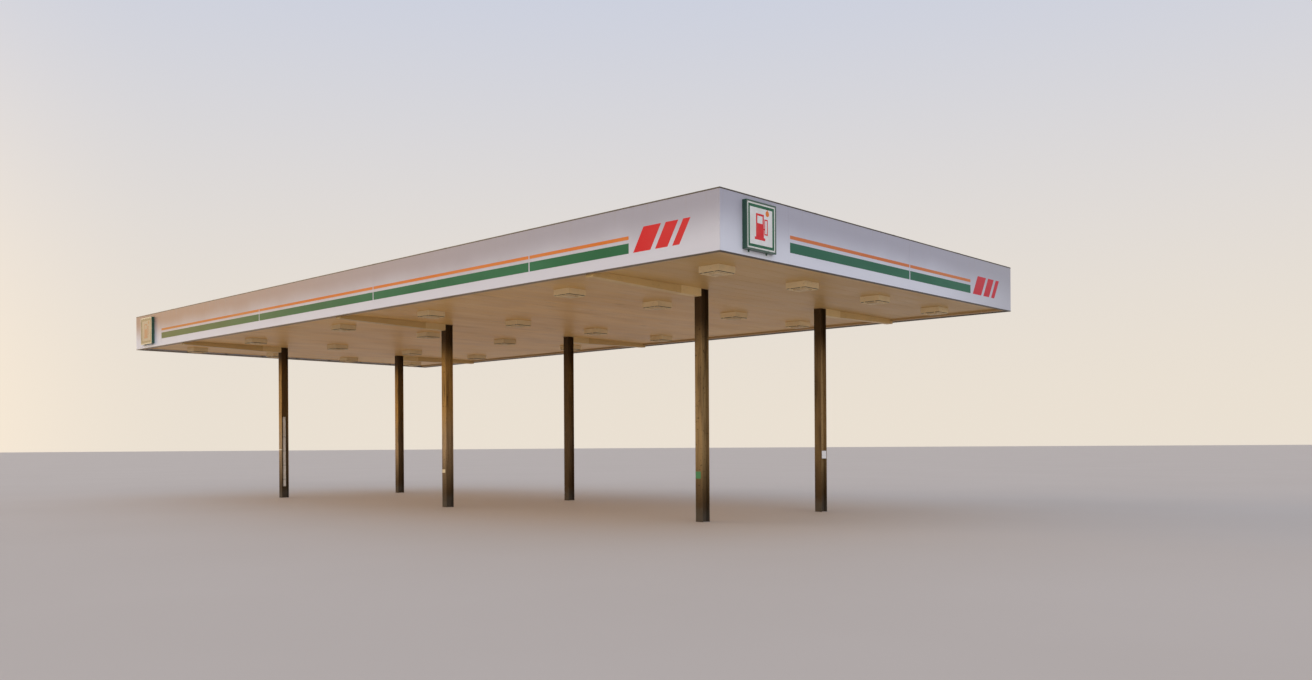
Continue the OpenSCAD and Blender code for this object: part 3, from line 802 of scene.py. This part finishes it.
# Fascia frame: galvanised angles that carry the panels, with a bracket at every bay whose arm
# is bolted down on the edge channel by two nuts.
BRACKET_PITCH = 1.524
ANGLE_LEG = 0.05
ANGLE_THICK = 0.005
CHANNEL_BACK = 0.284
CHANNEL_WIDE = 0.07
FRAME_NUT = 0.019
FRAME_NUT_HIGH = 0.01
channel_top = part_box("edge_channel_front")[1].z
panel_front = -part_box("fascia_front")[0].y
panel_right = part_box("fascia_right")[1].x
# Every side is built as the front one and turned: half its length, its distance and its turn
SIDES = {"front": (panel_right, panel_front, 0), "right": (panel_front, panel_right, 90),
    "back": (panel_right, panel_front, 180), "left": (panel_front, panel_right, 270)}


def turned(turn, x, y, z=0.0):
    """A place on one side, given as on the front side and turned with it."""
    return turn_by(turn) @ shift(x, y, z)


paint_nodes(galvanised_finish, *["fascia_frame_" + name for name in SIDES])
nut_places = []
for half, out, turn in SIDES.values():
    first = -half + CHANNEL_BACK + ANGLE_LEG
    bays = math.ceil(-2 * first / BRACKET_PITCH)
    step = (-2 * first - ANGLE_LEG) / bays
    for i in range(bays + 1):
        for inward in (0.3, 0.7):
            nut_places.append(turned(turn, first + i * step + 0.55 * ANGLE_LEG,
                -out + CHANNEL_BACK - inward * CHANNEL_WIDE, channel_top + ANGLE_THICK))
fit(copies(nut("frame_nuts", FRAME_NUT, FRAME_NUT_HIGH, FRAME_NUT * 1.5), nut_places),
    zinc_finish, "galvanised_steel")

# Fascia: flat composite panels with folded edges, white, with runs below the coping, and painted
# shade along the top that turns from grey to brown towards the left. The skins are a little
# wavy, so that reflections wander over them.


def fascia_white():
    white, top_shade_grey, top_warm_shade = (0.7, 0.72, 0.785), (0.405, 0.4, 0.46), (0.43, 0.26, 0.15)
    weathered, grime, speck = (0.42, 0.42, 0.45), (0.4, 0.37, 0.36), (0.5, 0.45, 0.4)
    finish = start_finish("fascia_white", white, 0.5, shine=0.2)
    up = along(finish, "Z")
    # Painted shade: grey along the top, turning brown towards the left.
    edge = reckon(finish, "ADD", up, times(finish, cloud(finish, 0.8), 0.35))
    top = times(finish, rise(finish, edge, cad_high.z - 0.9, cad_high.z), 0.95)
    runs = times(finish, patches(finish, 16, 0.5, 0.8, (1, 1, 0.06)),
        rise(finish, up, cad_high.z - 0.5, cad_high.z))
    colour = lay_over(finish, top_shade_grey, (towards(finish, "X", 13.2, -12.0), top_warm_shade, 0.9),
        (rest_of(finish, top), white), (towards(finish, "Y", 1.0, 7.0), weathered, 0.7),
        (runs, grime, 0.4), (patches(finish, 25, 0.68, 0.8), speck, 0.25))
    return end_finish(finish, colour, cloud(finish, 0.9, detail=1), 0.006)


fascia_finish = fascia_white()
paint_nodes(fascia_finish, *["fascia_" + name for name in SIDES])

# Joint covers: a flat white aluminium strip over every joint between two panels, with pop
# rivets down its middle.
COVER_WIDE = 0.03
COVER_THICK = 0.0015
RIVET_EVERY = 0.17
RIVET_WIDE = 0.01
LAST_PANEL = 5.29
CORNER_PANEL = 2.11
LEAST_PANEL = 1.5
PANEL_LEN = 6.096
COPING_HIGH = 0.026
fascia_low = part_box("lower_trim")[0].z
cover_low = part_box("lower_trim")[1].z + 0.002
cover_high = cad_high.z - COPING_HIGH - 0.002


def panel_joints(half):
    """Places of the joints on a side, from its left end to its right end."""
    more = math.floor((2 * half - LAST_PANEL - CORNER_PANEL - LEAST_PANEL) / PANEL_LEN)
    return [-half + CORNER_PANEL] + [half - LAST_PANEL - i * PANEL_LEN
        for i in range(more, -1, -1)]


def rivet(name):
    """A low domed rivet head that stands out to -Y from the plane y = 0."""
    made = rod(name, 8, RIVET_WIDE / 2, 0.0016, (0, -0.0008, 0), UPRIGHT)
    pick(made, looks_front)
    inset(RIVET_WIDE * 0.22)
    move((0, -0.0012, 0))
    close()
    return made


cover = soften(block("joint_covers", (-COVER_WIDE / 2, -COVER_THICK, cover_low),
    (COVER_WIDE / 2, 0, cover_high)), 0.0006, 1)
cover_places = [turned(turn, joint, -out)
    for half, out, turn in SIDES.values() for joint in panel_joints(half)]
rivet_count = int((cover_high - cover_low) / RIVET_EVERY)
rivet_rise = (cover_high - cover_low) / (rivet_count + 1)
rivet_places = [place @ shift(0, -COVER_THICK, cover_low + (i + 1) * rivet_rise)
    for place in cover_places for i in range(rivet_count)]
fit(copies(cover, cover_places), fascia_finish, "fascia_white")
fit(copies(rivet("joint_rivets"), rivet_places), fascia_finish, "fascia_white")

# Bands: coloured film on the panels, cut at every joint, with painted warm shade towards the
# left and a painted shadow on the right end. A broad green band with a slim orange one above
# it runs along each side and ends in three slanted red blocks.
FILM_THICK = 0.0006
FILM_GAP = COVER_WIDE / 2 + 0.002
GREEN_BAND = (0.25, 0.45)
ORANGE_BAND = (0.52, 0.59)
BLOCK_BAND = (0.25, 0.72)
BAND_FROM = 0.04
BAND_TO = 0.7
BLOCK_WIDES = (0.46, 0.32, 0.18)
BLOCK_GAP = 0.12
BLOCK_LEAN = 0.28


def film(low, high, left, right, out, turn, lean=0.0):
    """A strip of film on a side; lean pushes its upper edge to the right."""
    strip = block("film", (left, -out - FILM_THICK, fascia_low + low),
        (right, -out, fascia_low + high))
    pick(strip, lambda middle, edge: middle.z > fascia_low + high - 1e-4, "EDGE")
    move((lean, 0, 0))
    close()
    strip.data.transform(turn_by(turn))
    return strip


def film_finish(name, colour, tone_shift):
    left_warm_shade, shadow, dirt = (0.42, 0.27, 0.07), (0.13, 0.14, 0.22), (0.4, 0.36, 0.3)
    finish = start_finish(name, colour, 0.55, shine=0.12)
    # Painted shade: warmer and darker towards the left, and a painted shadow on the right end.
    colour = lay_over(finish, colour, (patches(finish, 0.5, 0.3, 0.75, (1, 1, 2)), tone_shift),
        (towards(finish, "X", 4.0, -13.0), left_warm_shade, 0.4),
        (towards(finish, "X", 12.8, 13.2), shadow, 0.2),
        (patches(finish, 30, 0.66, 0.8), dirt, 0.3))
    return end_finish(finish, colour, cloud(finish, 0.9, detail=1), 0.006)


strips = {"green_bands": [], "orange_bands": [], "red_blocks": []}
for half, out, turn in SIDES.values():
    blocks_long = sum(BLOCK_WIDES) + len(BLOCK_WIDES) * BLOCK_GAP + BLOCK_LEAN
    band_end = half - BAND_TO - blocks_long
    cuts = [-half + CORNER_PANEL + BAND_FROM] + panel_joints(half)[1:] + [band_end]
    for i, (left, right) in enumerate(zip(cuts, cuts[1:])):
        left += FILM_GAP if i > 0 else 0
        right -= FILM_GAP if i < len(cuts) - 2 else 0
        strips["green_bands"].append(film(*GREEN_BAND, left, right, out, turn))
        strips["orange_bands"].append(film(*ORANGE_BAND, left, right, out, turn))
    left = band_end + BLOCK_GAP
    for wide in BLOCK_WIDES:
        strips["red_blocks"].append(film(*BLOCK_BAND, left, left + wide, out, turn, BLOCK_LEAN))
        left += wide + BLOCK_GAP
for name, film_name, colour, tone_shift, slot in (
        ("green_bands", "green_film", (0.02, 0.15, 0.06), (0.035, 0.19, 0.085), "sign_green"),
        ("orange_bands", "orange_film", (0.74, 0.2, 0.03), (0.76, 0.26, 0.07), "fascia_white"),
        ("red_blocks", "red_film", (0.72, 0.02, 0.025), (0.72, 0.05, 0.05), "fascia_white")):
    fit(join(name, strips[name]), film_finish(film_name, colour, tone_shift), slot)

# Coping and lower trim: folded dark bronze aluminium along the top and the lower edge of the
# fascia, held by small rivets in their faces.
TRIM_RIVET_EVERY = 0.61
COPING_RIVET_DOWN = 0.016
TRIM_RIVET_UP = 0.011
TRIM_SHEET = 0.003
TRIM_ENDS = 0.3

trim_finish = worn_finish("trim_bronze", (0.055, 0.043, 0.03), 0.45, (0.1, 0.085, 0.068),
    (4, 0.45, 0.8, (1, 1, 3)), (30, 0.0006))
paint_nodes(trim_finish, "top_coping", "lower_trim")
trim_places = []
for half, out, turn in SIDES.values():
    count = int((2 * half - TRIM_ENDS) / TRIM_RIVET_EVERY)
    for i in range(count + 1):
        x = (i - count / 2) * TRIM_RIVET_EVERY
        for z in (cad_high.z - COPING_RIVET_DOWN, fascia_low + TRIM_RIVET_UP):
            trim_places.append(turned(turn, x, -out - TRIM_SHEET, z))
fit(copies(rivet("trim_rivets"), trim_places), trim_finish, "trim_bronze")

# Sign cabinets: square green sheet boxes near the left end of every side. A white retainer of
# folded aluminium holds the acrylic face in front, with countersunk screws round it.
RETAINER_WIDE = 0.03
RETAINER_THICK = 0.004
BORDER_WIDE = 0.055
PICTURE_THICK = 0.0008
FACE_THICK = 0.005
SCREW_EVERY = 0.195


def acrylic(name, colour, tone_shift):
    """Smooth acrylic or film, bleached by the sun, dusty, and with painted warm shade at the left
    end.
    """
    left_warm_shade, dust = (0.3, 0.21, 0.07), (0.45, 0.42, 0.36)
    finish = start_finish(name, colour, 0.4, shine=0.25)
    # Painted shade: warmer and darker at the left end.
    colour = lay_over(finish, colour, (patches(finish, 4, 0.35, 0.8), tone_shift),
        (towards(finish, "X", -8.0, -12.0), left_warm_shade, 0.8),
        (patches(finish, 18, 0.6, 0.85, (1, 1, 0.5)), dust, 0.3))
    return end_finish(finish, colour, cloud(finish, 3, detail=1), 0.001)


def open_frame(name, wide, high, rim, thick, middle, turn=(0, 0, 0)):
    """A flat frame: a sheet with its middle taken out, thickened."""
    made = sheet(name, wide, high, middle, turn)
    pick(made, lambda middle, face: True)
    inset(rim)
    bpy.ops.mesh.delete(type="FACE")
    close()
    return thicken(made, thick)


def sign_frame(name, side, rim, thick):
    """A square frame on the front of the acrylic face, its middle on the Y axis."""
    made = open_frame(name, side, side, rim, thick, (0, -face_y - thick / 2, 0), UPRIGHT)
    return soften(made, thick * 0.3, 1)


cabinet_finish = worn_finish("sign_green", (0.012, 0.07, 0.04), 0.3, (0.03, 0.085, 0.055),
    (8, 0.4, 0.75, (1, 1, 0.3)), (25, 0.0008), coat=0.3)
paint_nodes(cabinet_finish, *["sign_cabinet_" + name for name in SIDES])
sign_low, sign_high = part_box("sign_cabinet_front")
face_low, face_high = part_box("sign_faces")
sign_half = (sign_high.z - sign_low.z) / 2
sign_x = (sign_high.x + sign_low.x) / 2 + panel_right
sign_z = (sign_high.z + sign_low.z) / 2
face_half = (face_high.z - face_low.z) / 2
face_y = -face_low.y - panel_front
sign_places = [turned(turn, -half + sign_x, -out, sign_z) for half, out, turn in SIDES.values()]

face = soften(block("sign_faces", (-face_half, -face_y, -face_half),
    (face_half, -face_y + FACE_THICK, face_half)), 0.0015, 1)
fit(copies(face, sign_places), acrylic("sign_acrylic", (0.75, 0.76, 0.74),
    (0.68, 0.68, 0.63)), "sign_face", "sign_faces")
border = sign_frame("sign_borders", 2 * (face_half - RETAINER_WIDE + 0.002), BORDER_WIDE,
    PICTURE_THICK)
fit(copies(border, sign_places), acrylic("sign_border_film",
    (0.012, 0.11, 0.05), (0.03, 0.15, 0.08)), "sign_green")
retainer = sign_frame("sign_retainers", 2 * face_half, RETAINER_WIDE, RETAINER_THICK)
fit(copies(retainer, sign_places), acrylic("retainer_white",
    (0.72, 0.74, 0.7), (0.6, 0.6, 0.54)), "sign_face")

screw_run = face_half - RETAINER_WIDE / 2
screw_count = int(2 * screw_run / SCREW_EVERY)
screw_steps = [(i / screw_count * 2 - 1) * screw_run for i in range(screw_count)]
screw_spots = [shift(x, -face_y - RETAINER_THICK, z) for a in screw_steps
    for x, z in ((a, -screw_run), (-a, screw_run), (-screw_run, -a), (screw_run, a))]
fit(copies(rivet("sign_screws"),
    [place @ spot for place in sign_places for spot in screw_spots]),
    zinc_finish, "galvanised_steel")

# Sign lugs: bent green sheet angles above and below every cabinet, with one screw into the
# cabinet and one into the fascia.
LUG_WIDE = 0.05
LUG_LONG = 0.035
LUG_SHEET = 0.002
LUG_SCREW = LUG_LONG * 0.55

lug = sheet("sign_lugs", LUG_WIDE, LUG_LONG, (0, -LUG_LONG / 2, LUG_SHEET / 2))
fold(lug, lambda middle: middle.y > -1e-4, (0, 0, LUG_LONG))
lug.data.transform(shift(0, -LUG_SHEET / 2))
lug_parts = [thicken(lug, LUG_SHEET)]
for spot in (shift(0, -LUG_SHEET, LUG_SCREW), shift(0, -LUG_SCREW, LUG_SHEET) @ turn_by(-90, "X")):
    lug_parts.append(rivet("lug_screw"))
    lug_parts[-1].data.transform(spot)
lug_turns = [shift(x, 0, sign_half) for x in (-sign_half * 0.6, sign_half * 0.6)]
lug_turns += [turn_by(180, "Y") @ place for place in lug_turns]
fit(copies(join("sign_lugs", lug_parts),
    [place @ spot for place in sign_places for spot in lug_turns]), cabinet_finish, "sign_green")

# Sign picture: a plain figure cut from red film, a body with a window and a foot and a hose at
# its side, and an orange drop beside it, stuck on the white field of every face.
DROP_X, DROP_Z = 0.19, 0.27
DROP_RADIUS = 0.055
DROP_TIP = 0.05
picture_y = (-face_y - PICTURE_THICK, -face_y)


def picture_block(name, left, right, low, high):
    return block(name, (left, picture_y[0], low), (right, picture_y[1], high))


def picture_frame(name, left, right, low, high, edge):
    """A rectangle with its middle taken out, so that the face shows through it."""
    return open_frame(name, right - left, high - low, edge, PICTURE_THICK,
        ((left + right) / 2, sum(picture_y) / 2, (low + high) / 2), UPRIGHT)


red_picture = join("sign_pumps", [
    picture_frame("pump_window", -0.16, 0.08, 0.02, 0.24, 0.04),
    picture_block("pump_body", -0.16, 0.08, -0.2, 0.0201),
    picture_block("pump_foot", -0.2, 0.12, -0.25, -0.2),
    picture_frame("pump_hose", 0.095, 0.2, -0.14, 0.16, 0.026),
    picture_block("pump_hook", 0.08, 0.1, -0.05, -0.02),
])
fit(copies(red_picture, sign_places), acrylic("sign_red_film", (0.68, 0.02, 0.03),
    (0.7, 0.06, 0.05)), "sign_face")
drop = rod("sign_drops", 24, DROP_RADIUS, PICTURE_THICK, (DROP_X, sum(picture_y) / 2, DROP_Z),
    UPRIGHT)
pick(drop, lambda middle, edge: middle.z > DROP_Z + DROP_RADIUS - 0.0008
    and abs(middle.x - DROP_X) < 0.01, "EDGE")
move((0, 0, DROP_TIP))
close()
fit(copies(drop, sign_places), acrylic("sign_orange_film", (0.75, 0.2, 0.03),
    (0.76, 0.26, 0.07)), "sign_face")

# Ceiling lights: folded steel housings enamelled like the ceiling but painted lighter, for the
# extra light on their sides, over a door that is set back and closes on a gasket painted dark
# for the shade in the gap. A bevelled recess in the door holds a prismatic lens in an
# aluminium ring. Hinges on one side, two catches on the other.
LIGHT_RIM = 0.034
LIGHT_RECESS = 0.045
RECESS_STEP = 0.006
DOOR_HIGH = 0.006
DOOR_GAP = 0.014
GAP_DEEP = 0.03
DOOR_INSIDE = 0.012
FITTING_OUT = 0.55
HINGE_RADIUS = 0.009
HINGE_LONG = 0.06
CATCH_HALF = 0.015
CATCH_HIGH = 0.055
LENS_SIDE = 0.33
LENS_LOW_SIDE = 0.274
LENS_RIM = 0.02
LENS_DISH = 0.004
LENS_RING = 0.014
RING_THICK = 0.008
GASKET_INSIDE = 0.014
GASKET_WIDE = 0.02
light_low, light_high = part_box("light_row_1")
lens_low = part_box("light_lenses")[0].z
light_half = (light_high.y - light_low.y) / 2
recess_z = light_low.z + LIGHT_RECESS
# The rows lie along X: their lights stand to both sides of each cross beam
light_off = light_high.x - beam_places[2] - light_half
light_spots = {}
for name in ("light_row_1", "light_row_2", "light_row_3", "light_row_4"):
    row_y = (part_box(name)[0].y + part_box(name)[1].y) / 2
    light_spots[name] = [shift(beam + side * light_off, row_y)
        for beam in beam_places for side in (-1, 1)]


def light_housing(name):
    """Housing with its middle on the Z axis, and its door below a gap that runs round it."""
    made = block("light_housing", (-light_half, -light_half, light_low.z + DOOR_HIGH + DOOR_GAP),
        (light_half, light_half, light_high.z))
    pick(made, looks_down)
    inset(GAP_DEEP)
    pull((0, 0, -DOOR_GAP))
    pull((0, 0, 0))
    door_wider = (light_half - DOOR_INSIDE) / (light_half - GAP_DEEP)
    bpy.ops.transform.resize(value=(door_wider, door_wider, 1), center_override=(0, 0, 0))
    pull((0, 0, -DOOR_HIGH))
    inset(LIGHT_RIM - 0.01)
    inset(0.008, -RECESS_STEP)
    pull((0, 0, LIGHT_RECESS - RECESS_STEP))
    close()
    parts = [soften(made, 0.003)]
    for side in (-1, 1):
        x = side * light_half * FITTING_OUT
        parts.append(rod("hinge", 8, HINGE_RADIUS, HINGE_LONG, (x, light_half + 0.003,
            light_low.z + DOOR_HIGH + DOOR_GAP / 2), (0, math.radians(90), 0)))
        catch = block("catch", (x - CATCH_HALF, -light_half - 0.004, light_low.z + 0.004),
            (x + CATCH_HALF, -light_half, light_low.z + CATCH_HIGH))
        parts.append(soften(catch, 0.0015, 1))
    screw_out = light_half - LIGHT_RIM / 2
    for x in (-screw_out, screw_out):
        for y in (-screw_out, screw_out):
            parts.append(rivet("rim_screw"))
            parts[-1].data.transform(shift(x, y, light_low.z) @ turn_by(90, "X"))
    return join(name, parts)


def lens():
    half = LENS_SIDE / 2
    made = block("light_lenses", (-half, -half, lens_low), (half, half, recess_z))
    pick(made, looks_down)
    shrink = LENS_LOW_SIDE / LENS_SIDE
    bpy.ops.transform.resize(value=(shrink, shrink, 1), center_override=(0, 0, lens_low))
    inset(LENS_RIM)
    move((0, 0, LENS_DISH))
    close()
    return soften(made, 0.003)


def lens_acrylic():
    clear, amber = (0.78, 0.62, 0.38), (0.6, 0.45, 0.25)
    finish = start_finish("lens_acrylic", clear, 0.5, shine=0.2)
    prisms = add_node(finish, "ShaderNodeTexVoronoi", {"Vector": own_place(finish),
        "Scale": 110.0, "Randomness": 0.0}).outputs["Distance"]
    colour = lay_over(finish, clear, (patches(finish, 9, 0.4, 0.75), amber))
    return end_finish(finish, colour, prisms, 0.003)


def square_ring(name, half, rim, thick, z):
    return soften(open_frame(name, 2 * half, 2 * half, rim, thick, (0, 0, z)), 0.002, 1)


# Painted light: the enamel is lighter than the ceiling's, for the extra light on the housings'
# sides.
light_finish = cream_enamel("light_enamel", (0.98, 0.81, 0.49))
for name, row_spots in light_spots.items():
    housing = light_housing(name + "_housings")
    fit(copies(housing, row_spots), light_finish, "light_enamel", name)
all_spots = [spot for row_spots in light_spots.values() for spot in row_spots]
fit(copies(lens(), all_spots), lens_acrylic(), "light_lens", "light_lenses")
ring = square_ring("lens_rings", LENS_SIDE / 2 + LENS_RING, LENS_RING, RING_THICK,
    recess_z - RING_THICK / 2)
fit(copies(ring, all_spots), light_finish, "light_enamel")
# Painted shade: the gaskets are dark brown, for the shade in the gap under each housing.
gasket_shade = square_ring("light_gasket_shades", light_half - GASKET_INSIDE, GASKET_WIDE, DOOR_GAP * 0.7,
    light_low.z + DOOR_HIGH + DOOR_GAP / 2)
fit(copies(gasket_shade, all_spots),
    cream_enamel("gasket_shade_paint", (0.05, 0.027, 0.011)), "trim_bronze")

# Floor and light: a pale floor out to the horizon, a low warm sun from the left with a glow
# round it, and a cool soft light from the right. None of it belongs to the canopy.


def pale_floor():
    pale, dull = (0.6, 0.525, 0.445), (0.585, 0.51, 0.43)
    finish = start_finish("pale_floor", pale, 0.8)
    return end_finish(finish, lay_over(finish, pale, (patches(finish, 0.15, 0.3, 0.7), dull)))


floor = sheet("floor", 2400, 2400)
floor.data.materials.append(pale_floor())

world = bpy.data.worlds.new("soft_sky")
world.use_nodes = True
way = add_node(world, "ShaderNodeTexCoord", {}).outputs["Generated"]
way = add_node(world, "ShaderNodeSeparateXYZ", {0: way}).outputs
front_left_sky = rise(world, reckon(world, "ADD", way["X"], way["Y"]), -0.5, -1.4)
low_down = rest_of(world, rise(world, way["Z"], 0.0, 0.6))
sky = lay_over(world, (0.62, 0.7, 0.9), (low_down, (0.97, 0.88, 0.76)),
    (times(world, front_left_sky, low_down), (1.8, 1.4, 0.95)))
background = world.node_tree.nodes["Background"]
world.node_tree.links.new(sky, background.inputs["Color"])
background.inputs["Strength"].default_value = 0.85
bpy.context.scene.world = world

for name, strength, colour, wide, tilt, turn in (
        ("soft_sun", 0.85, (1.0, 0.72, 0.44), 30, 75, -62),
        ("soft_fill", 0.75, (0.95, 0.94, 1.0), 50, 75, 72)):
    lamp = bpy.data.objects.new(name, bpy.data.lights.new(name, "SUN"))
    lamp.data.energy = strength
    lamp.data.color = colour
    lamp.data.angle = math.radians(wide)
    lamp.rotation_euler = (math.radians(tilt), 0, math.radians(turn))
    bpy.context.scene.collection.objects.link(lamp)
bpy.context.scene.view_settings.view_transform = "Standard"
